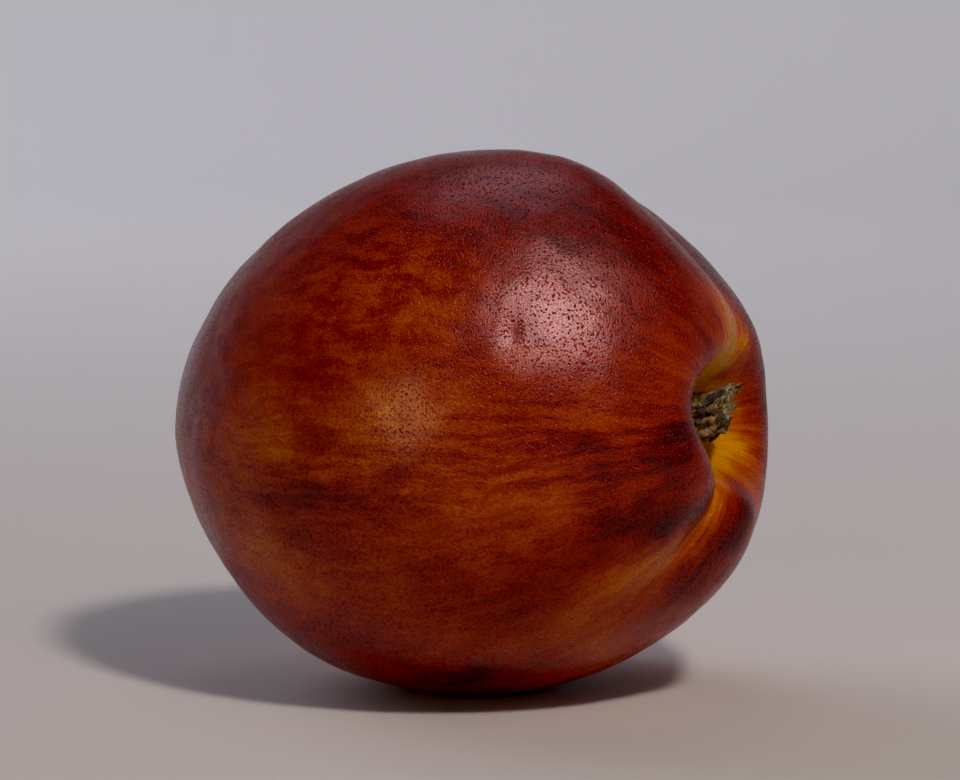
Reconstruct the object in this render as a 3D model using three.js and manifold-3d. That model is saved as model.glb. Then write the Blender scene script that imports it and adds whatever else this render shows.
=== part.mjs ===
// Nectarine lying on its cheek: one smooth-skinned fruit with a seam, a second fold opposite the
// seam, a stem hollow and a small tip, and the dry stub of its stalk standing in the hollow.
// Millimetres, +Z up. The stem end points along +X, and the seam runs along the top. The origin
// is on the surface that the fruit rests on, straight below the fruit's centre.

import * as THREE from 'three';
import { mergeVertices } from 'three/addons/utils/BufferGeometryUtils.js';
import Module from 'manifold-3d';

const { degToRad, radToDeg, smoothstep } = THREE.MathUtils;

// How the fruit lies.
const CENTRE_HEIGHT = 32.55;          // fruit's centre above the surface that it rests on
const STEM_END_RAISED = degToRad(3);  // the stem end sits a little higher than the tip
const ROLLED_BACK = degToRad(13);     // the seam is rolled from the top towards +Y

// The fruit without its folds: a mean radius, and shares of it that the profile adds.
const MEAN_RADIUS = 35.3;
const PROFILE_SHARES = [0.004, 0.067, -0.016, 0.009];  // of cos t, cos 2t, cos 3t and cos 4t
const SEAM_SIDE_SHARES = [-0.02, 0.027, -0.012];       // lean of the seam's side along the fruit
const CHEEK_SHARE = 0.01;                              // the cheeks bulge more than the seam's plane

// Soft swellings and flatter places: degrees from the stem end, degrees round from the seam, how
// far the skin stands out there, and how wide the place is in degrees.
const SWELLINGS = [
  { along: 64, round: 14, height: 1.35, spread: 17 },    // near lip of the seam, at its fullest
  { along: 40, round: -32, height: -1.5, spread: 20 },   // far shoulder, which slopes away
  { along: 105, round: 12, height: 0.4, spread: 22 },    // top of the back half
  { along: 150, round: 60, height: -0.75, spread: 22 },  // flatter place above the tip
  { along: 152, round: 150, height: -1.55, spread: 22 }, // flatter place below the tip
  { along: 110, round: 150, height: 1.1, spread: 25 },   // full belly
  { along: 24, round: 116, height: 0.45, spread: 9 },    // full edge of the hollow, beside the fold
];

// The seam: deepest over the stem shoulder, shallow down the side, with a full lip on each side.
const SEAM = {
  deep: 2.25,
  deepAt: 55,
  deepSpread: 33,
  shallow: 0.5,
  halfWidth: degToRad(14.5),
  lipShare: 0.33,
  lipAt: degToRad(33),
  lipSpread: degToRad(22),
};

// The fold opposite the seam: short, on the stem shoulder only, and turned towards -Y.
const FOLD = {
  deep: 1.9,
  deepAt: 25,
  deepSpread: 16,
  turned: degToRad(24),
  halfWidth: degToRad(13),
  lipShare: 0.5,
  lipAt: degToRad(35.5),
  lipSpread: degToRad(19.5),
};
const FOLDS_START = 4;       // degrees from the stem end where the folds begin
const FOLDS_FULL = 16;       // and where they have their full depth

// The stem hollow is narrower along the seam than across it, and the tip is a low point.
const HOLLOW_DEPTH = 11;
const HOLLOW_ALONG_SEAM = 7;
const HOLLOW_ACROSS_SEAM = 10;
const HOLLOW_POWER = 2.4;
const TIP_HEIGHT = 1.5;
const TIP_RADIUS = 5;

// The stub: rough dry wood that leans towards the seam, with a splinter at its broken end.
const STUB_LENGTH = 7.2;
const STUB_RADIUS = 2.55;
const STUB_END_RADIUS = 1.9;
const STUB_LEAN = degToRad(17);
const STUB_OFF_AXIS = 0.7;   // its foot stands away from the seam by this much
const STUB_GAP = 0.45;       // under the middle of its foot, which leaves 0.3 at the foot's edge
const SPLINTER_LENGTH = 1.5;

// Facets of the meshes. The rings crowd towards the stem end, where the shape is busiest.
const FRUIT_SEGMENTS = 60;
const FRUIT_RINGS = 36;
const RING_CROWDING = 1.35;
const STUB_SEGMENTS = 20;
const STUB_RINGS = 14;

const wasm = await Module();
wasm.setup();

// A geometry with only merged positions left, as a solid that can be cut.
function solidOf(geometry) {
  const bare = geometry.clone();
  bare.deleteAttribute('normal');
  bare.deleteAttribute('uv');
  const merged = mergeVertices(bare);
  return new wasm.Manifold(new wasm.Mesh({
    numProp: 3,
    vertProperties: new Float32Array(merged.attributes.position.array),
    triVerts: new Uint32Array(merged.index.array),
  }));
}

// A solid back as a geometry.
function geometryOf(solid) {
  const { vertProperties, triVerts } = solid.getMesh();
  const geometry = new THREE.BufferGeometry();
  geometry.setAttribute('position', new THREE.BufferAttribute(vertProperties, 3));
  geometry.setIndex(new THREE.BufferAttribute(triVerts, 1));
  geometry.computeVertexNormals();
  return geometry;
}

// A smooth hump of height 1 at the centre.
function hump(x, centre, spread) {
  return Math.exp(-(((x - centre) / spread) ** 2));
}

// Cross-section of a fold: 1 in its crease, and negative where its lips stand out.
function foldSection(angleAway, fold) {
  const crease = Math.exp(-((angleAway / fold.halfWidth) ** 1.5));
  return crease - fold.lipShare * hump(angleAway, fold.lipAt, fold.lipSpread);
}

// Smallest angle between two directions round the axis.
function angleBetween(a, b) {
  const turn = Math.abs(a - b) % (2 * Math.PI);
  return Math.min(turn, 2 * Math.PI - turn);
}

// How far the swellings lift the skin at the angles t and f.
function swelling(t, f) {
  return SWELLINGS.reduce((sum, { along, round, height, spread }) => {
    const middle = degToRad(along);
    const turned = Math.cos(f - degToRad(round));
    const closeness = Math.cos(t) * Math.cos(middle) + Math.sin(t) * Math.sin(middle) * turned;
    return sum + height * Math.exp((2 * (closeness - 1)) / degToRad(spread) ** 2);
  }, 0);
}

// Distance from the fruit's centre to its skin, before the hollow and the tip. The angle t runs
// from the stem end to the tip, and f runs round the axis from the seam.
function reach(t, f) {
  const degrees = radToDeg(t);
  const profile = PROFILE_SHARES.reduce((sum, share, i) => sum + share * Math.cos((i + 1) * t), 1);
  const [seamSide, seamSideLean, seamSideWaist] = SEAM_SIDE_SHARES;
  const lean = seamSide + seamSideLean * Math.cos(t) + seamSideWaist * Math.cos(2 * t);
  const cheeks = CHEEK_SHARE * Math.sin(t) ** 2 * Math.cos(2 * f);
  const round = MEAN_RADIUS * (profile + Math.sin(t) * Math.cos(f) * lean - cheeks);

  const alongSide = smoothstep(degrees, 15, 45) * (1 - smoothstep(degrees, 150, 178));
  const seamDepth = SEAM.deep * hump(degrees, SEAM.deepAt, SEAM.deepSpread) + SEAM.shallow * alongSide;
  const foldDepth = FOLD.deep * hump(degrees, FOLD.deepAt, FOLD.deepSpread);
  const seam = seamDepth * foldSection(angleBetween(f, 0), SEAM);
  const fold = foldDepth * foldSection(angleBetween(f, Math.PI - FOLD.turned), FOLD);
  return round + swelling(t, f) - smoothstep(degrees, FOLDS_START, FOLDS_FULL) * (seam + fold);
}

// Point of the skin in the fruit's own axes: X to the stem end, Z to the seam, -Y at f = 90 degrees.
function skinPoint(t, f) {
  const distance = reach(t, f);
  const radius = distance * Math.sin(t);
  const towardsSeam = radius * Math.cos(f);
  const towardsCheek = radius * Math.sin(f);
  const inHollow = Math.hypot(towardsSeam / HOLLOW_ALONG_SEAM, towardsCheek / HOLLOW_ACROSS_SEAM);
  let along = distance * Math.cos(t);
  if (t < Math.PI / 2) {
    along -= HOLLOW_DEPTH * Math.exp(-(inHollow ** HOLLOW_POWER));
  } else {
    along -= TIP_HEIGHT * hump(radius, 0, TIP_RADIUS);
  }
  return new THREE.Vector3(along, -towardsCheek, towardsSeam);
}

// The whole skin: a unit ball with its pole at the stem end, each corner moved out to the skin.
function fruitGeometry() {
  const geometry = new THREE.SphereGeometry(1, FRUIT_SEGMENTS, FRUIT_RINGS);
  const corners = geometry.attributes.position;
  for (let i = 0; i < corners.count; i += 1) {
    const evenAngle = Math.acos(THREE.MathUtils.clamp(corners.getY(i), -1, 1));
    const t = Math.PI * (evenAngle / Math.PI) ** RING_CROWDING;
    const f = Math.atan2(-corners.getZ(i), corners.getX(i));
    const point = skinPoint(t, f);
    corners.setXYZ(i, point.x, point.y, point.z);
  }
  return geometry;
}

// Everything below the surface that the fruit rests on, in the fruit's own axes.
function belowTheSurface(fruitPlace) {
  const side = 4 * MEAN_RADIUS;
  const box = new THREE.BoxGeometry(side, side, MEAN_RADIUS);
  box.translate(0, 0, -MEAN_RADIUS / 2);
  box.applyMatrix4(fruitPlace.matrixWorld.clone().invert());
  return box;
}

// The stub stands along +Y with its rounded foot at the origin. Its sides are knobbly, and one
// side of its end runs out into the splinter.
function stubGeometry() {
  const profile = [new THREE.Vector2(0, 0)];
  for (let i = 1; i < STUB_RINGS; i += 1) {
    const share = i / STUB_RINGS;
    const taper = THREE.MathUtils.lerp(STUB_RADIUS, STUB_END_RADIUS, share);
    const roundEnds = Math.min(1, (share / 0.16) ** 0.5, ((1 - share) / 0.06) ** 0.5);
    profile.push(new THREE.Vector2(taper * roundEnds, STUB_LENGTH * share));
  }
  profile.push(new THREE.Vector2(0, STUB_LENGTH));

  const geometry = new THREE.LatheGeometry(profile, STUB_SEGMENTS);
  const corners = geometry.attributes.position;
  for (let i = 0; i < corners.count; i += 1) {
    const radius = Math.hypot(corners.getX(i), corners.getZ(i));
    const angle = Math.atan2(corners.getZ(i), corners.getX(i));
    const height = corners.getY(i);
    const share = height / STUB_LENGTH;
    const knobs = 1 + share * (0.1 * Math.sin(3 * angle + height) + 0.06 * Math.sin(7 * angle - 2 * height));
    const atSplinter = radius * Math.max(0, -Math.cos(angle)) / STUB_END_RADIUS;
    const lift = SPLINTER_LENGTH * smoothstep(share, 0.7, 1) * smoothstep(atSplinter, 0.3, 1);
    corners.setXYZ(i, radius * knobs * Math.cos(angle), height + lift, radius * knobs * Math.sin(angle));
  }
  return geometry;
}

const nectarine = new THREE.Group();
const raised = new THREE.Group();
raised.position.z = CENTRE_HEIGHT;
raised.rotation.y = -STEM_END_RAISED;
const rolled = new THREE.Group();
rolled.rotation.x = -ROLLED_BACK;
raised.add(rolled);
nectarine.add(raised);
nectarine.updateMatrixWorld(true);

const wholeFruit = solidOf(fruitGeometry());
const fruit = new THREE.Mesh(
  geometryOf(wholeFruit.subtract(solidOf(belowTheSurface(rolled)))),
  new THREE.MeshStandardMaterial({ color: 0x7a1c10, roughness: 0.4, metalness: 0 }),
);
fruit.name = 'fruit';
rolled.add(fruit);

// The stub's foot stands just off the floor of the hollow.
const stubFoot = new THREE.Group();
stubFoot.position.set(skinPoint(0, 0).x + STUB_GAP, 0, -STUB_OFF_AXIS);
stubFoot.rotation.y = -STUB_LEAN;
const stub = new THREE.Mesh(
  stubGeometry(),
  new THREE.MeshStandardMaterial({ color: 0x54401f, roughness: 0.9, metalness: 0 }),
);
stub.name = 'stem_stub';
stub.rotation.z = -Math.PI / 2;
stubFoot.add(stub);
rolled.add(stubFoot);

export default nectarine;
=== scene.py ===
import bpy
import numpy as np
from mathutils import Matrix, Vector


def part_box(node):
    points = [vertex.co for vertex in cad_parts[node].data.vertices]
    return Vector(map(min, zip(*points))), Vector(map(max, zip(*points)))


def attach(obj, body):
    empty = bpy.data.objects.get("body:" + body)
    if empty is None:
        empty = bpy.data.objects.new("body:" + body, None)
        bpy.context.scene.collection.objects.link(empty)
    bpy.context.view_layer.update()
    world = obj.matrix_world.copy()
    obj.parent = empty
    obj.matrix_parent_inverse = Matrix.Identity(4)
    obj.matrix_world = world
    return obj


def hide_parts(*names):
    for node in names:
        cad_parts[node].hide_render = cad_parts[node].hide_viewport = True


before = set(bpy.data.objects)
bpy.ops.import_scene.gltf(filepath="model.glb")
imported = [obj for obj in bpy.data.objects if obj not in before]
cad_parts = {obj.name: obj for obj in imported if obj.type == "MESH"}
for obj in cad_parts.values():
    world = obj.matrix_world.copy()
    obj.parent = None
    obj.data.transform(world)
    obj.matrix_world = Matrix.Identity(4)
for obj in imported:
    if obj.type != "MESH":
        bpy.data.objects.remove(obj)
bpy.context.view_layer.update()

# ---- The fruit -----------------------------------------------------------------------------------
# A nectarine is one piece that grew: a thin, tight, hairless skin over the flesh. It lies on its
# cheek, flattened a little where it rests. Its stem end points along +X, the seam runs along the
# top, and a second, shorter fold runs into the stem hollow opposite the seam.
centre_height = 32.55      # millimetres, as are the other sizes of the fruit
stem_end_raised = 3.0      # degrees, as are the other angles
rolled_back = 13.0
mean_radius = 35.3
profile_shares = (0.004, 0.067, -0.016, 0.009)
seam_side_shares = (-0.02, 0.027, -0.012)
cheek_share = 0.01
# Swellings and flatter places: along from the stem end, round from the seam, height, spread.
swellings = (
    (64, 14, 1.35, 17),
    (40, -32, -1.5, 20),
    (105, 12, 0.4, 22),
    (150, 60, -0.75, 22),
    (152, 150, -1.55, 22),
    (110, 150, 1.1, 25),
    (24, 116, 0.45, 9),
)
# Each crease: its cross-section, its greatest depth, and how far along that is and spreads.
seam = {"half_width": 14.5, "lip": 0.33, "lip_at": 33, "lip_spread": 22}
seam_depth, seam_deepest, seam_spread = 2.25, 55, 33
fold = {"half_width": 13, "lip": 0.5, "lip_at": 35.5, "lip_spread": 19.5}
fold_depth, fold_deepest, fold_spread = 1.9, 25, 16
fold_turned = 24
# Besides, the seam is this deep all along its side, between where it starts and where it ends.
side_depth = 0.5
side_starts, side_ends = (15, 45), (150, 178)
creases_start = (4, 16)
hollow_depth = 11
hollow_along_seam = 7
hollow_across_seam = 10
hollow_squareness = 2.4
tip_height = 1.5
tip_spread = 5
rings = 296
segments = 320
ring_crowding = 1.35       # the rings crowd towards the stem end


def hump(x, centre, spread):
    """A smooth hump of height 1 at its centre: e to minus the square of the distance in spreads."""
    return np.exp(-(((x - centre) / spread) ** 2))


def ease(x, low, high):
    """0 below low, 1 above high, and 3 x squared less 2 x cubed in between."""
    share = np.clip((x - low) / (high - low), 0, 1)
    return share * share * (3 - 2 * share)


def turned_from(a, b):
    """The smallest angle, in degrees, between two directions round the axis."""
    return np.abs((a - b + 180) % 360 - 180)


def crease(away, half_width, lip, lip_at, lip_spread):
    """Cross-section of a fold: 1 in the crease, falling as e to minus the angle to the power 1.5,
    less a share of a hump on each side for the full lips."""
    return np.exp(-((away / half_width) ** 1.5)) - lip * hump(away, lip_at, lip_spread)


def closeness(t, f, along, round_):
    """Cosine of the angle, seen from the fruit's centre, between (t, f) and another direction."""
    a, b = np.radians(t), np.radians(along)
    return np.cos(a) * np.cos(b) + np.sin(a) * np.sin(b) * np.cos(np.radians(f - round_))


def ripple(points, count, shortest, longest, seed):
    """Smooth random relief of about unit size: the sum of count plane waves through space, in
    random directions and phases, with wavelengths from shortest to longest."""
    chance = np.random.default_rng(seed)
    direction = chance.normal(size=(count, 3))
    direction /= np.linalg.norm(direction, axis=1, keepdims=True)
    wavelength = chance.uniform(shortest, longest, count)
    phase = chance.uniform(0, 2 * np.pi, count)
    waves = points @ (2 * np.pi * direction / wavelength[:, None]).T + phase
    return np.cos(waves).sum(-1) * np.sqrt(2 / count)


def skin(t, f):
    """The skin over two angles in degrees, t from the stem end and f round from the seam. Its reach
    from the centre is a mean radius with shares of cos t to cos 4t, lean of the seam's side, cheeks
    and swellings, less the two creases. Then the hollow is sunk along the axis, by e to minus the
    distance from it, in half-widths of the hollow, to the power 2.4, and the tip is drawn out along
    the axis as a smooth hump."""
    a, b = np.radians(t), np.radians(f)
    profile = 1 + sum(share * np.cos((i + 1) * a) for i, share in enumerate(profile_shares))
    lean = seam_side_shares[0] + seam_side_shares[1] * np.cos(a) + seam_side_shares[2] * np.cos(2 * a)
    cheeks = cheek_share * np.sin(a) ** 2 * np.cos(2 * b)
    reach = mean_radius * (profile + np.sin(a) * np.cos(b) * lean - cheeks)
    for along, round_, height, spread in swellings:
        reach = reach + height * np.exp(2 * (closeness(t, f, along, round_) - 1) / np.radians(spread) ** 2)
    side = ease(t, *side_starts) * (1 - ease(t, *side_ends))
    seam_sinks = seam_depth * hump(t, seam_deepest, seam_spread) + side_depth * side
    fold_sinks = fold_depth * hump(t, fold_deepest, fold_spread)
    creases = seam_sinks * crease(turned_from(f, 0), **seam)
    creases = creases + fold_sinks * crease(turned_from(f, 180 - fold_turned), **fold)
    reach = reach - ease(t, *creases_start) * creases

    to_seam = reach * np.sin(a) * np.cos(b)
    to_cheek = reach * np.sin(a) * np.sin(b)
    out = np.hypot(to_seam / hollow_along_seam, to_cheek / hollow_across_seam)
    hollow = hollow_depth * np.exp(-(out ** hollow_squareness))
    tip = tip_height * hump(np.hypot(to_seam, to_cheek), 0, tip_spread)
    along = reach * np.cos(a) - np.where(t < 90, hollow, tip)
    return np.stack([along, -to_cheek, to_seam], axis=-1)


def lie_down(points):
    """From the fruit's own axes to where it lies: rolled about X, raised about Y, then lifted."""
    roll, rise = np.radians(-rolled_back), np.radians(-stem_end_raised)
    about_x = np.array([[1, 0, 0], [0, np.cos(roll), -np.sin(roll)], [0, np.sin(roll), np.cos(roll)]])
    about_y = np.array([[np.cos(rise), 0, np.sin(rise)], [0, 1, 0], [-np.sin(rise), 0, np.cos(rise)]])
    return points @ (about_y @ about_x).T + (0, 0, centre_height)


def flat_grid(grid):
    """A grid's values as one list: its first row once, the rows between in full, its last row once."""
    return np.concatenate([grid[:1, 0], grid[1:-1].reshape(-1, *grid.shape[2:]), grid[-1:, 0]])


def closed_mesh(name, shells):
    """One mesh from closed shells, each a grid of points in millimetres whose columns run round and
    whose first and last rows are single points. It has quads between the rows and a fan at each
    end, and they face where the direction of the rows crossed with that of the columns points."""
    faces = []
    start = 0
    for shell in shells:
        rows, columns = shell.shape[:2]
        last = start + (rows - 2) * columns + 1
        ring = start + 1 + np.arange((rows - 2) * columns).reshape(rows - 2, columns)
        after = np.roll(ring, -1, axis=1)
        quads = np.stack([ring[:-1], ring[1:], after[1:], after[:-1]], axis=-1).reshape(-1, 4)
        faces += quads.tolist()
        faces += np.stack([np.full(columns, start), ring[0], after[0]], axis=-1).tolist()
        faces += np.stack([np.full(columns, last), after[-1], ring[-1]], axis=-1).tolist()
        start = last + 1
    corners = np.concatenate([flat_grid(shell) for shell in shells]) / 1000
    mesh = bpy.data.meshes.new(name)
    mesh.from_pydata(corners.tolist(), [], faces)
    mesh.shade_smooth()
    piece = bpy.data.objects.new(name, mesh)
    bpy.context.scene.collection.objects.link(piece)
    return piece


def on_corners(piece, name, grids):
    """Stores a number or a vector on each corner of a closed mesh, from one grid for each shell."""
    values = np.concatenate([flat_grid(grid) for grid in grids])
    kind, field = ("FLOAT_VECTOR", "vector") if values.ndim == 2 else ("FLOAT", "value")
    layer = piece.data.attributes.new(name, kind, "POINT")
    layer.data.foreach_set(field, values.astype(np.float32).ravel())


ring_share = np.linspace(0, 1, rings) ** ring_crowding
t_grid, f_grid = np.meshgrid(180 * ring_share, np.arange(segments) * 360 / segments, indexing="ij")
skin_points = skin(t_grid, f_grid)
outward = skin_points / np.linalg.norm(skin_points, axis=-1, keepdims=True)
# Soft unevenness of the skin, a twentieth of a millimetre high, with a finer one on it. It fades
# out at the poles, where the rings close up.
relief = 0.05 * ripple(skin_points, count=60, shortest=7, longest=16, seed=1)
relief = relief + 0.016 * ripple(skin_points, count=60, shortest=2.5, longest=5, seed=2)
off_poles = ease(t_grid, 6, 30) * (1 - ease(t_grid, 165, 178))
# Two shallow dents in the near cheek, from the fruit beside it in the crate: along, round, depth,
# spread.
dents = (
    (67.3, 53.2, 0.16, 1.9),
    (59.8, 77.4, 0.2, 1.6),
)
for along, round_, depth, spread in dents:
    apart = 2 * (closeness(t_grid, f_grid, along, round_) - 1) / np.radians(spread) ** 2
    relief = relief - depth * np.exp(apart)
skin_points = skin_points + (relief * off_poles)[..., None] * outward
placed = lie_down(skin_points)
# The relief moves the skin's box a little, so its middle goes back to the middle of the CAD node's.
fruit_low, fruit_high = 1000 * np.array(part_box("fruit"))
placed[..., :2] += ((fruit_low + fruit_high - placed.min((0, 1)) - placed.max((0, 1))) / 2)[:2]
rest_softness = 0.08       # the skin turns into the flat spot over about this height
placed[..., 2] = (placed[..., 2] + np.hypot(placed[..., 2], rest_softness)) / 2
fruit_skin = closed_mesh("fruit_skin", [placed])

# The pattern runs along the fruit, so it reads millimetres round and along the skin: a cylinder of
# the fruit's mean girth, as long as the skin is from the stem end to the tip.
steps = np.linalg.norm(np.diff(skin_points, axis=0), axis=-1).mean(axis=1)
arc = np.concatenate([[0], np.cumsum(steps)])
girth_radius = 34.0
around = np.radians(f_grid)
grain = np.stack(
    [girth_radius * np.cos(around), girth_radius * np.sin(around), arc[:, None] + 0 * f_grid],
    axis=-1,
)
on_corners(fruit_skin, "grain", [grain])


def with_patches(level, t, f, patches):
    """A level over the skin with soft patches added to it. Each patch is how far along and how far
    round it lies, its height, and its half-length and half-width, in degrees, and it adds its
    height times a smooth hump along times a smooth hump round."""
    for along, round_, height, half_length, half_width in patches:
        level = level + height * hump(t, along, half_length) * hump(turned_from(f, round_), 0, half_width)
    return level


# How red the skin is: 0 is the yellow ground, 1 the darkest maroon. It is redder on the seam's
# side and at the tip, and yellow in the hollow. The edges of the patches wander with a slow and a
# quick ripple, in degrees.
mean_redness = 0.60
redder_at_seam = 0.16
redder_at_tip = 0.07
yellower_in_hollow = 0.58
blush_patches = (
    # the near side, from the seam down to the belly
    (60, 40, 0.13, 28, 14),
    (25, 68, -0.14, 6, 10),
    (88, 75, -0.06, 18, 14),
    (50, 89, -0.08, 12, 5),
    (80, 94, -0.26, 12, 7),
    (98, 92, 0.07, 6, 5),
    (26, 104, 0.12, 8, 8),
    (44, 96, 0.10, 8, 5),
    (42, 105, 0.22, 12, 7),
    (60, 113, -0.06, 8, 6),
    (100, 112, 0.16, 13, 4),
    (84, 118, 0.10, 10, 3),
    (106, 101, -0.17, 8, 4),
    (92, 110, 0.09, 14, 5),
    (115, 95, -0.10, 9, 9),
    (125, 103, -0.12, 9, 7),
    (140, 95, 0.04, 10, 12),
    (24, 112, 0.30, 7, 20),
    (39, 127, 0.36, 10, 8),
    (30, 136, 0.38, 7, 6),
    (75, 128, 0.08, 7, 6),
    (116, 128, -0.22, 12, 8),
    (104, 121, 0.15, 12, 3),
    (98, 148, 0.12, 12, 8),
    # this patch and the next two darken the lower belly towards where it rests: partly the skin's own
    # colour, partly painted shade near the floor
    (118, 158, 0.24, 32, 23),
    (58, 136, 0.22, 20, 9),
    (60, 172, 0.14, 22, 18),
    (78, 72, -0.12, 12, 10),
    (23, 146, 0.45, 4, 8),
    # the yellow stripe that runs out of the second fold, and the belly
    (20, 158, -0.30, 5, 4),
    (30, 152, -0.25, 7, 5),
    (42, 148, -0.20, 10, 5),
    (55, 155, -0.10, 8, 12),
    (56, 175, -0.16, 5, 14),
    (32, 172, 0.33, 9, 8),
    (20, 178, 0.30, 6, 9),
    # a dark maroon patch low on the belly by the floor: partly its own colour, partly painted shade
    (80, 163, 0.42, 12, 9),
    # the yellow that spills out of the hollow along the seam
    (16, 10, -0.66, 8, 22),
    # the far side of the hollow, orange inside and maroon on its lip
    (17, -102, -0.26, 8, 48),
    (12, -140, 0.13, 6, 28),
    (22, -68, 0.22, 4, 48),
    (35, -70, 0.38, 9, 55),
    (29, -130, 0.25, 7, 22),
    (15, -172, 0.36, 6, 13),
    (30, -174, 0.20, 11, 13),
    # the far side
    (60, -60, 0.10, 30, 25),
    (45, -95, 0.15, 12, 12),
    (95, -100, -0.14, 20, 12),
    (70, -125, -0.12, 25, 9),
    (120, -70, 0.10, 15, 15),
    (35, -140, -0.18, 9, 8),
    (100, -152, -0.14, 25, 12),
    (60, -165, 0.18, 15, 10),
)
patch_t, patch_f = (
    grid
    + 2.2 * ripple(skin_points, count=40, shortest=12, longest=30, seed=slow_seed)
    + 0.9 * ripple(skin_points, count=60, shortest=3, longest=7, seed=quick_seed)
    for grid, slow_seed, quick_seed in ((t_grid, 3, 4), (f_grid, 5, 6))
)
blush = mean_redness + redder_at_seam * np.cos(np.radians(f_grid))
blush = blush + redder_at_tip * ease(patch_t, 122, 150) - yellower_in_hollow * (1 - ease(patch_t, 9, 17))
blush = with_patches(blush, patch_t, patch_f, blush_patches)
on_corners(fruit_skin, "blush", [np.clip(blush, 0, 1.05)])

# Where the red is mottled and where it is streaked: a little all over, and more in these patches.
mottled_all_over = 0.45
mottled_patches = (
    (88, 68, 0.6, 24, 16),
    (60, 35, -0.15, 30, 18),
    (95, -90, 0.5, 30, 40),
)
streaked_all_over = 0.35
streaked_patches = (
    (60, 104, 0.9, 40, 14),
    (105, 108, 0.5, 16, 10),
    (18, 0, 0.5, 7, 120),
    (30, 150, 0.3, 14, 22),
    (80, -130, 0.6, 35, 30),
)
on_corners(fruit_skin, "mottled", [with_patches(mottled_all_over, t_grid, f_grid, mottled_patches)])
on_corners(fruit_skin, "streaked", [with_patches(streaked_all_over, t_grid, f_grid, streaked_patches)])
# Handling rubs the wax to a shine outside, but only a quarter as much in the hollow.
least_rubbed = 0.25
on_corners(fruit_skin, "rubbed", [least_rubbed + (1 - least_rubbed) * ease(t_grid, 13, 27)])


def linear(hex_colour):
    """An sRGB colour such as "#a03010" as the linear red, green, blue and alpha of a shader."""
    channels = np.array([int(hex_colour[i:i + 2], 16) for i in (1, 3, 5)]) / 255
    low = channels / 12.92
    high = ((channels + 0.055) / 1.055) ** 2.4
    return (*np.where(channels <= 0.04045, low, high), 1.0)


def add(tree, kind, inputs=None, **settings):
    """Adds a node. Settings are its own properties. Inputs are sockets by name or number, each
    given a plain value or the socket that it is linked from."""
    made = tree.nodes.new(kind)
    for name, value in settings.items():
        setattr(made, name, value)
    for name, value in (inputs or {}).items():
        if isinstance(value, bpy.types.NodeSocket):
            tree.links.new(value, made.inputs[name])
        else:
            made.inputs[name].default_value = value
    return made


def lay_stops(ramp, stops):
    """Lays sRGB colours along a ramp, each at its place from 0 to 1."""
    ramp.elements[0].position = stops[0][0]
    ramp.elements[1].position = stops[-1][0]
    for at, _ in stops[1:-1]:
        ramp.elements.new(at)
    for element, (_, hex_colour) in zip(ramp.elements, stops):
        element.color = linear(hex_colour)


# Ripe nectarine skin, as it grew: a thin waxy layer, with red sap colour of uneven depth over a
# yellow ground. That gives the eye a satin gloss, broken by pores, over soft flecks and streaks from
# yellow to maroon.
skin_material = bpy.data.materials.new("ripe_nectarine_skin")
skin_material.use_nodes = True
tree = skin_material.node_tree
shader = tree.nodes["Principled BSDF"]
per_metre = 1000           # millimetres, for patterns that read the object's own metres
blush_layer = add(tree, "ShaderNodeAttribute", attribute_name="blush")
grain_layer = add(tree, "ShaderNodeAttribute", attribute_name="grain")
place = add(tree, "ShaderNodeTexCoord")

# Slow bending of the flecks, by up to about 1 mm over 9 mm: a noise less its mean, times 4 mm.
bend_over = 9
bend_by = 4
drift = add(
    tree,
    "ShaderNodeTexNoise",
    {"Vector": grain_layer.outputs["Vector"], "Scale": 1 / bend_over, "Detail": 3},
)
centred = add(
    tree,
    "ShaderNodeVectorMath",
    {0: drift.outputs["Color"], 1: (0.5, 0.5, 0.5)},
    operation="SUBTRACT",
)
bent = add(
    tree,
    "ShaderNodeVectorMath",
    {0: centred.outputs["Vector"], 1: (bend_by, bend_by, bend_by), 2: grain_layer.outputs["Vector"]},
    operation="MULTIPLY_ADD",
)
redness = blush_layer.outputs["Fac"]
# Each layer of flecks: width and length in mm, detail, the noise's range that turns it from yellower
# to redder, how much it changes the redness, and the corner layer that says where, if not all over.
fleck_layers = (
    (2.2, 4.4, 5, 0.42, 0.59, 0.22, "mottled"),
    (1.2, 11.0, 4, 0.40, 0.62, 0.22, "streaked"),
    (0.24, 0.4, 2, 0.25, 0.75, 0.24, None),
)
for width, length, detail, low, high, depth, where in fleck_layers:
    spaced = add(
        tree,
        "ShaderNodeVectorMath",
        {0: bent.outputs["Vector"], 1: (1 / width, 1 / width, 1 / length)},
        operation="MULTIPLY",
    )
    flecks = add(
        tree,
        "ShaderNodeTexNoise",
        {"Vector": spaced.outputs["Vector"], "Scale": 1, "Detail": detail, "Roughness": 0.6},
    )
    fleck = add(
        tree,
        "ShaderNodeMapRange",
        {
            "Value": flecks.outputs[0],
            "From Min": low,
            "From Max": high,
            "To Min": -depth / 2,
            "To Max": depth / 2,
        },
        interpolation_type="SMOOTHSTEP",
    )
    strength = 1.0
    if where:
        strength = add(tree, "ShaderNodeAttribute", attribute_name=where).outputs["Fac"]
    redness = add(
        tree,
        "ShaderNodeMath",
        {0: fleck.outputs["Result"], 1: strength, 2: redness},
        operation="MULTIPLY_ADD",
    ).outputs[0]
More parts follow.
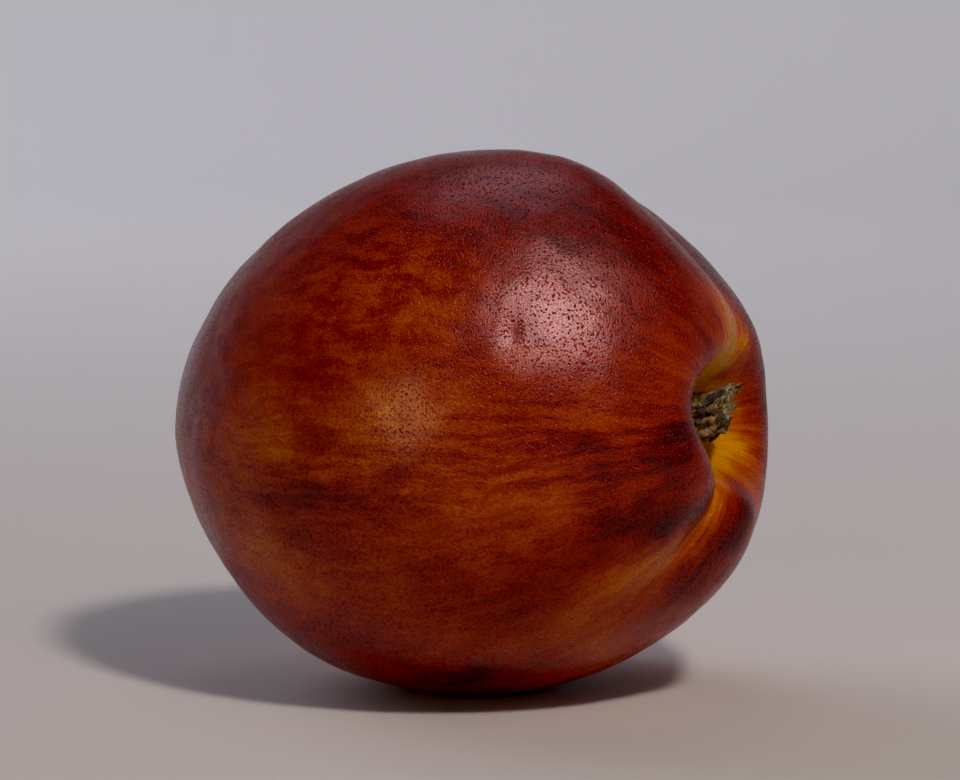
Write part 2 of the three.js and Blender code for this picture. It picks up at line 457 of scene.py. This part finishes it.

# The pores, a fifth of a millimetre wide and two fifths apart. Their colour is a little darker, as painted
# shade in the pits, and the wax does not shine in them. Their edge is soft, between two shares of the
# spacing.
pore_spacing = 0.42
pore_edge = (0.16, 0.38)
pore_painted_shade = 0.07
pores = add(
    tree,
    "ShaderNodeTexVoronoi",
    {"Vector": place.outputs["Object"], "Scale": per_metre / pore_spacing},
)
pore = add(
    tree,
    "ShaderNodeMapRange",
    {
        "Value": pores.outputs["Distance"],
        "From Min": pore_edge[0],
        "From Max": pore_edge[1],
        "To Min": 1,
        "To Max": 0,
    },
    interpolation_type="SMOOTHSTEP",
)
# The pits are painted a little redder, which is darker: painted shade in the pits.
redness = add(
    tree,
    "ShaderNodeMath",
    {0: pore.outputs["Result"], 1: pore_painted_shade, 2: redness},
    operation="MULTIPLY_ADD",
).outputs[0]
skin_colour = add(tree, "ShaderNodeValToRGB", {"Fac": redness})
skin_stops = (
    (0.00, "#d8930e"),
    (0.20, "#c46609"),
    (0.40, "#ae4004"),
    (0.55, "#982806"),
    (0.70, "#821707"),
    (0.85, "#62100a"),
    (1.00, "#3a0c10"),
)
lay_stops(skin_colour.color_ramp, skin_stops)
tree.links.new(skin_colour.outputs["Color"], shader.inputs["Base Color"])

# The wax is a little uneven, so the gloss breaks up, and the skin has a fine orange peel. Its real
# cells are a few hundredths of a millimetre across, so it is drawn coarser, to show.
peel_size = 0.22
peel_height = 0.000045     # metres, as is the next
pore_height = 0.00005
smoothest, roughest = 0.22, 0.33
wax_shine = 0.22           # the specular level outside the pores, where the wax is rubbed
peel = add(
    tree,
    "ShaderNodeTexNoise",
    {"Vector": place.outputs["Object"], "Scale": per_metre / peel_size, "Detail": 2},
)
gloss = add(
    tree,
    "ShaderNodeMapRange",
    {
        "Value": peel.outputs[0],
        "From Min": 0.3,
        "From Max": 0.7,
        "To Min": smoothest,
        "To Max": roughest,
    },
)
dull_pores = add(
    tree,
    "ShaderNodeMapRange",
    {"Value": pore.outputs["Result"], "To Min": wax_shine, "To Max": 0.0},
)
rubbed_layer = add(tree, "ShaderNodeAttribute", attribute_name="rubbed")
shine = add(
    tree,
    "ShaderNodeMath",
    {0: dull_pores.outputs["Result"], 1: rubbed_layer.outputs["Fac"]},
    operation="MULTIPLY",
)
tree.links.new(gloss.outputs["Result"], shader.inputs["Roughness"])
tree.links.new(shine.outputs[0], shader.inputs["Specular IOR Level"])
peel_bump = add(
    tree,
    "ShaderNodeBump",
    {"Height": peel.outputs[0], "Strength": 1.0, "Distance": peel_height},
)
pore_bump = add(
    tree,
    "ShaderNodeBump",
    {
        "Height": pore.outputs["Result"],
        "Strength": 1.0,
        "Distance": pore_height,
        "Normal": peel_bump.outputs["Normal"],
    },
    invert=True,
)
tree.links.new(pore_bump.outputs["Normal"], shader.inputs["Normal"])
shader.inputs["IOR"].default_value = 1.5
fruit_skin.data.materials.append(skin_material)
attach(fruit_skin, "root")
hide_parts("fruit")

# ---- The stub of the stalk -----------------------------------------------------------------------
# The end of the tree's stalk, left in the hollow when the fruit was picked: dry grey-brown wood
# with crumbling bark, broken off short, with splinters standing at the broken end. It leans
# towards the seam.
foot_gap = 0.45            # millimetres, between the foot and the floor of the hollow
off_axis = 0.7
stub_lean = np.radians(17)
stub_length = 6.6
foot_radius = 2.6
end_radius = 1.9
bend_up = 0.9              # its end bends this far towards the seam
break_slant = -1.0
long_splinter = 190        # degrees round, on the side that faces the seam
pattern_radius = 2.4       # about the core's own radius, where its knobs are worked out
core_rows = 120
core_columns = 110
flakes = 46
splinters = 9
stub_foot = np.array([skin(np.zeros(1), np.zeros(1))[0, 0] + foot_gap, 0, -off_axis])
stub_axis = np.array([np.cos(stub_lean), 0, np.sin(stub_lean)])
stub_side = np.array([0, -1, 0])
stub_top = np.cross(stub_side, stub_axis)


def centre_line(height):
    """The middle of the stub at a height along its axis: the foot, plus the height along the axis,
    plus the bend, which grows as the square of the height."""
    bend = bend_up * (height / stub_length) ** 2
    return stub_foot + height[..., None] * stub_axis + bend[..., None] * stub_top


def bark(share, angle):
    """The stub's core: share runs from foot to end and angle, in degrees, round from the side that
    faces away from the seam. The radius tapers evenly and closes at both ends as a square root. It
    is multiplied by 1 plus three ripples: slow and quick knobs, drawn out four times along the
    grain, and lumps. Near its end the height gains a slant, a ripple and a hump where the long
    splinter is."""
    taper = foot_radius + (end_radius - foot_radius) * share
    ends = np.sqrt(np.clip(np.minimum(share / 0.14, (1 - share) / 0.05), 0, 1))
    around_x, around_y = np.cos(np.radians(angle)), np.sin(np.radians(angle))
    drawn_out = 4
    where = np.stack(
        [
            pattern_radius * around_x,
            pattern_radius * around_y,
            stub_length * share / drawn_out + 0 * angle,
        ],
        axis=-1,
    )
    knobs = 1 + (0.06 + 0.05 * share) * ripple(where, count=40, shortest=1.6, longest=3.2, seed=11)
    knobs = knobs + 0.06 * ripple(where, count=60, shortest=0.5, longest=1.1, seed=12)
    lumps = 0.05 * ripple(where * (1, 1, drawn_out), count=60, shortest=0.9, longest=1.8, seed=13)
    radius = taper * ends * (knobs + lumps)
    # The break is ragged and slants: the seam's side is longer and runs out into a splinter.
    break_edge = 0.35 * ripple(where * (1, 1, 0), count=40, shortest=1.0, longest=2.6, seed=14)
    slant = break_slant * around_x
    ragged = ease(share, 0.6, 1) * (slant + break_edge + hump(turned_from(angle, long_splinter), 0, 32))
    height = stub_length * share + ragged * np.clip(radius / end_radius, 0, 1)
    out = radius[..., None] * (around_x[..., None] * -stub_top + around_y[..., None] * stub_side)
    return centre_line(height) + out


# The core's rows crowd towards both ends.
core_share, core_angle = np.meshgrid(
    0.5 - 0.5 * np.cos(np.pi * np.linspace(0, 1, core_rows)),
    np.arange(core_columns) * 360 / core_columns,
    indexing="ij",
)
stub_shells = [bark(core_share, core_angle)]

# Flakes of bark, each a thin curled plate lying along the core and lifting at one end. A plate is a
# flattened ball whose outline has three soft and five slight corners.
chance = np.random.default_rng(21)
plate_v, plate_u = np.meshgrid(np.linspace(0, np.pi, 12), np.arange(16) * 2 * np.pi / 16, indexing="ij")
for _ in range(flakes):
    middle_share = chance.uniform(0.30, 0.97)
    middle_angle = chance.uniform(0, 360)
    half_length = chance.uniform(0.35, 0.95)
    half_width = chance.uniform(0.22, 0.55)
    thick = chance.uniform(0.10, 0.22)
    lift = chance.uniform(0.02, 0.16)
    curl = chance.uniform(0.0, 0.35)
    skew = chance.uniform(-0.5, 0.5)
    along = np.sin(plate_v) * np.cos(plate_u)
    across = np.sin(plate_v) * np.sin(plate_u)
    edge = 1 + 0.22 * np.cos(3 * plate_u + skew * 9) + 0.14 * np.cos(5 * plate_u + skew * 17)
    share = np.clip(middle_share + half_length * edge * along / stub_length, 0.02, 0.97)
    turned = (half_width * edge * across + skew * half_length * along) / pattern_radius
    angle = middle_angle + np.degrees(turned)
    on_core = bark(share, angle)
    away = on_core - centre_line((on_core - stub_foot) @ stub_axis)
    away = away / np.maximum(np.linalg.norm(away, axis=-1, keepdims=True), 0.3)
    stand = lift + thick * np.cos(plate_v) + curl * np.clip(along, 0, 1) ** 2
    stub_shells.append(on_core + stand[..., None] * away)

# Splinters of wood round the broken end, each a thin taper that bends in or out and starts just
# under the bark. Those near the long one are longer. The taper swells from its root as a sine to
# the power 0.7, thins evenly to a quarter, and closes to a point at both ends.
taper_rows, taper_turn = np.meshgrid(np.linspace(0, 1, 10), np.arange(7) * 2 * np.pi / 7, indexing="ij")
for number in range(splinters):
    angle = long_splinter + 360 * number / splinters + chance.uniform(-12, 12)
    root = bark(np.full(1, 0.88), np.full(1, angle))[0]
    axis_point = centre_line((root - stub_foot) @ stub_axis)
    root_radius = np.linalg.norm(root - axis_point)
    away = (root - axis_point) / root_radius
    beside = np.cross(away, stub_axis)
    length = chance.uniform(0.3, 1.2) + 1.7 * float(hump(turned_from(angle, long_splinter + 10), 0, 34))
    width = chance.uniform(0.22, 0.42)
    bend_out = chance.uniform(-0.25, 0.25) + 0.5 * float(hump(turned_from(angle, long_splinter), 0, 20))
    swell = np.sin(np.pi * np.clip(taper_rows * 0.9 + 0.1, 0, 1)) ** 0.7
    girth = width * swell * (1.05 - 0.8 * taper_rows) * (taper_rows > 0) * (taper_rows < 1)
    middle_line = (
        axis_point
        + (root_radius * 0.86 + bend_out * taper_rows[..., None] ** 2) * away
        + length * taper_rows[..., None] * stub_axis
    )
    ring_out = np.cos(taper_turn)[..., None] * away * 0.6 + np.sin(taper_turn)[..., None] * beside
    stub_shells.append(middle_line + girth[..., None] * ring_out)

# Along X the stub's foot stands where the CAD node's does, and along Y their middles agree; its height is
# left as placed.
stub_low, stub_high = 1000 * np.array(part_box("stem_stub"))
placed_shells = [lie_down(shell) for shell in stub_shells]
core = placed_shells[0]
slide = np.array([
    stub_low[0] - core[..., 0].min(),
    (stub_low[1] + stub_high[1] - core[..., 1].min() - core[..., 1].max()) / 2,
    0,
])
stub_wood = closed_mesh("stub_wood", [shell + slide for shell in placed_shells])
# The core and each flake and splinter have dried to tones of their own, from 0, dark, to 1, pale.
flake_tone = [np.full(shell.shape[:2], chance.uniform(0, 1)) for shell in stub_shells]
on_corners(stub_wood, "flake_tone", flake_tone)

# Dead bark and broken wood: cells dried grey-brown, torn by hand. It is dull, with pale beige flakes and
# golden-brown wood where it broke last. The same crumb relief that makes the bump also sets the colour, so
# its cracks come out near black: painted shade in the cracks, over each piece's own tone.
wood_material = bpy.data.materials.new("dry_stalk_wood")
wood_material.use_nodes = True
tree = wood_material.node_tree
shader = tree.nodes["Principled BSDF"]
crumb_size = 0.75
crumb_height = 0.0004      # metres
flake_paler = 0.42         # the palest flake beside the darkest
place = add(tree, "ShaderNodeTexCoord")
tone = add(tree, "ShaderNodeAttribute", attribute_name="flake_tone")
crumbs = add(
    tree,
    "ShaderNodeTexNoise",
    {"Vector": place.outputs["Object"], "Scale": per_metre / crumb_size, "Detail": 5, "Roughness": 0.68},
)
# Each piece's tone plus the crumb relief: the low places of the relief, the cracks, come out darkest, as
# painted shade.
tone_and_crack_shade = add(
    tree,
    "ShaderNodeMath",
    {0: tone.outputs["Fac"], 1: flake_paler, 2: crumbs.outputs[0]},
    operation="MULTIPLY_ADD",
)
wood_colour = add(tree, "ShaderNodeValToRGB", {"Fac": tone_and_crack_shade.outputs[0]})
wood_stops = (
    (0.50, "#060504"),
    (0.65, "#1d170a"),
    (0.78, "#5c4513"),
    (0.90, "#8a7236"),
    (1.00, "#bdb28e"),
)
lay_stops(wood_colour.color_ramp, wood_stops)
tree.links.new(wood_colour.outputs["Color"], shader.inputs["Base Color"])
wood_bump = add(
    tree,
    "ShaderNodeBump",
    {"Height": crumbs.outputs[0], "Strength": 1.0, "Distance": crumb_height},
)
tree.links.new(wood_bump.outputs["Normal"], shader.inputs["Normal"])
shader.inputs["Roughness"].default_value = 0.85
stub_wood.data.materials.append(wood_material)
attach(stub_wood, "root")
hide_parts("stem_stub")

# ---- The studio ----------------------------------------------------------------------------------
# A floor of pale matt cloth that sweeps up all round, far enough out to leave the views from every
# side clear. It is a round sheet, flat in the middle, that rises as the first half of an ease.
flat_radius = 0.8          # metres, as are the other sizes of the studio
sweep_radius = 2.2
sweep_rise = 1.3
floor_rings = 120
floor_segments = 96
out = np.linspace(0, 1, floor_rings) * sweep_radius
height = sweep_rise * ease(out, flat_radius, 2 * sweep_radius - flat_radius) * 2
turn = np.radians(np.arange(floor_segments) * 360 / floor_segments)
floor_points = np.stack(
    [out[:, None] * np.cos(turn), out[:, None] * np.sin(turn), height[:, None] + 0 * turn],
    axis=-1,
)
ring = np.arange((floor_rings - 1) * floor_segments).reshape(floor_rings - 1, floor_segments) + 1
after = np.roll(ring, -1, axis=1)
quads = np.stack([ring[:-1], ring[1:], after[1:], after[:-1]], axis=-1).reshape(-1, 4)
middle = np.stack([np.zeros(floor_segments, int), ring[0], after[0]], axis=-1)
floor_mesh = bpy.data.meshes.new("studio_floor")
corners = np.concatenate([floor_points[:1, 0], floor_points[1:].reshape(-1, 3)])
floor_mesh.from_pydata(corners.tolist(), [], quads.tolist() + middle.tolist())
floor_mesh.shade_smooth()
floor = bpy.data.objects.new("studio_floor", floor_mesh)
bpy.context.scene.collection.objects.link(floor)
floor_material = bpy.data.materials.new("pale_cloth")
floor_material.use_nodes = True
floor_shader = floor_material.node_tree.nodes["Principled BSDF"]
floor_shader.inputs["Base Color"].default_value = linear("#d8d5d3")
floor_shader.inputs["Roughness"].default_value = 0.9
floor.data.materials.append(floor_material)

# The camera stands half a metre off, turned towards the stem end and a little raised. Its long lens
# takes in 117 mm at the fruit, and it stands a little right of and above the fruit's centre.
fruit_centre = Vector((0, 0, centre_height / 1000))
camera_turned = np.radians(23.4)
camera_raised = np.radians(7)
camera_away = 0.5
camera_right = 0.000853
camera_up = 0.00378
back = Vector((
    np.sin(camera_turned) * np.cos(camera_raised),
    -np.cos(camera_turned) * np.cos(camera_raised),
    np.sin(camera_raised),
))
right = Vector((np.cos(camera_turned), np.sin(camera_turned), 0))
up = back.cross(right)
camera = bpy.data.objects.new("camera", bpy.data.cameras.new("camera"))
camera.data.lens = 153.85          # millimetres, as is the next
camera.data.sensor_width = 36
camera.location = fruit_centre + camera_away * back + camera_right * right + camera_up * up
camera.rotation_mode = "QUATERNION"
camera.rotation_quaternion = back.to_track_quat("Z", "Y")
bpy.context.scene.collection.objects.link(camera)
bpy.context.scene.camera = camera

# Soft round lamps, none of them seen by the camera. Each brings out either the colour or the gloss
# only, so that the glints on the wax have their own strength. Each lamp: name, where it stands,
# where it looks, width, watts, colour, and which of the two it brings out.
lights = (
    ("key_light", (0.440, -0.344, 0.637), (-0.10, 0.25, 0), 0.10, 3.3, "#fff2e8", "colour"),
    ("key_glow", (0.276, -0.199, 0.408), (0, 0, 0.03), 0.25, 5.3, "#ffd6d2", "gloss"),
    ("left_glow", (-0.157, -0.870, 0.200), (0, 0, 0.03), 0.08, 2.6, "#ffc892", "gloss"),
    ("top_glow", (-0.12, 0.30, 0.75), (0, 0, 0.03), 0.5, 1.4, "#ffd8e8", "gloss"),
    ("window_light", (-0.90, 0.30, 0.60), (0, 0.05, 0.02), 0.9, 4.0, "#eef0ff", "colour"),
    ("sweep_light", (-0.25, 0.45, 1.10), (-0.25, 1.45, 0.60), 0.6, 7.6, "#eef2ff", "colour"),
)
for name, stands, looks, width, watts, hex_colour, lit in lights:
    lamp = bpy.data.lights.new(name, "AREA")
    lamp.shape = "DISK"
    lamp.size = width
    lamp.energy = watts
    lamp.color = linear(hex_colour)[:3]
    light = bpy.data.objects.new(name, lamp)
    light.location = stands
    light.rotation_mode = "QUATERNION"
    light.rotation_quaternion = (Vector(stands) - Vector(looks)).to_track_quat("Z", "Y")
    light.visible_camera = False
    light.visible_diffuse = lit == "colour"
    light.visible_glossy = lit == "gloss"
    bpy.context.scene.collection.objects.link(light)

# A trace of light from all round, as pale walls would give back.
world = bpy.data.worlds.new("studio_air")
world.use_nodes = True
world.node_tree.nodes["Background"].inputs["Color"].default_value = linear("#d8dae0")
world.node_tree.nodes["Background"].inputs["Strength"].default_value = 0.028
bpy.context.scene.world = world

# Colours come out as they are made, and the deepest shadows go down to black.
black_level = 0.006
film = bpy.context.scene.view_settings
film.view_transform = "Standard"
film.use_curve_mapping = True
film.curve_mapping.black_level = (black_level, black_level, black_level)
film.curve_mapping.update()
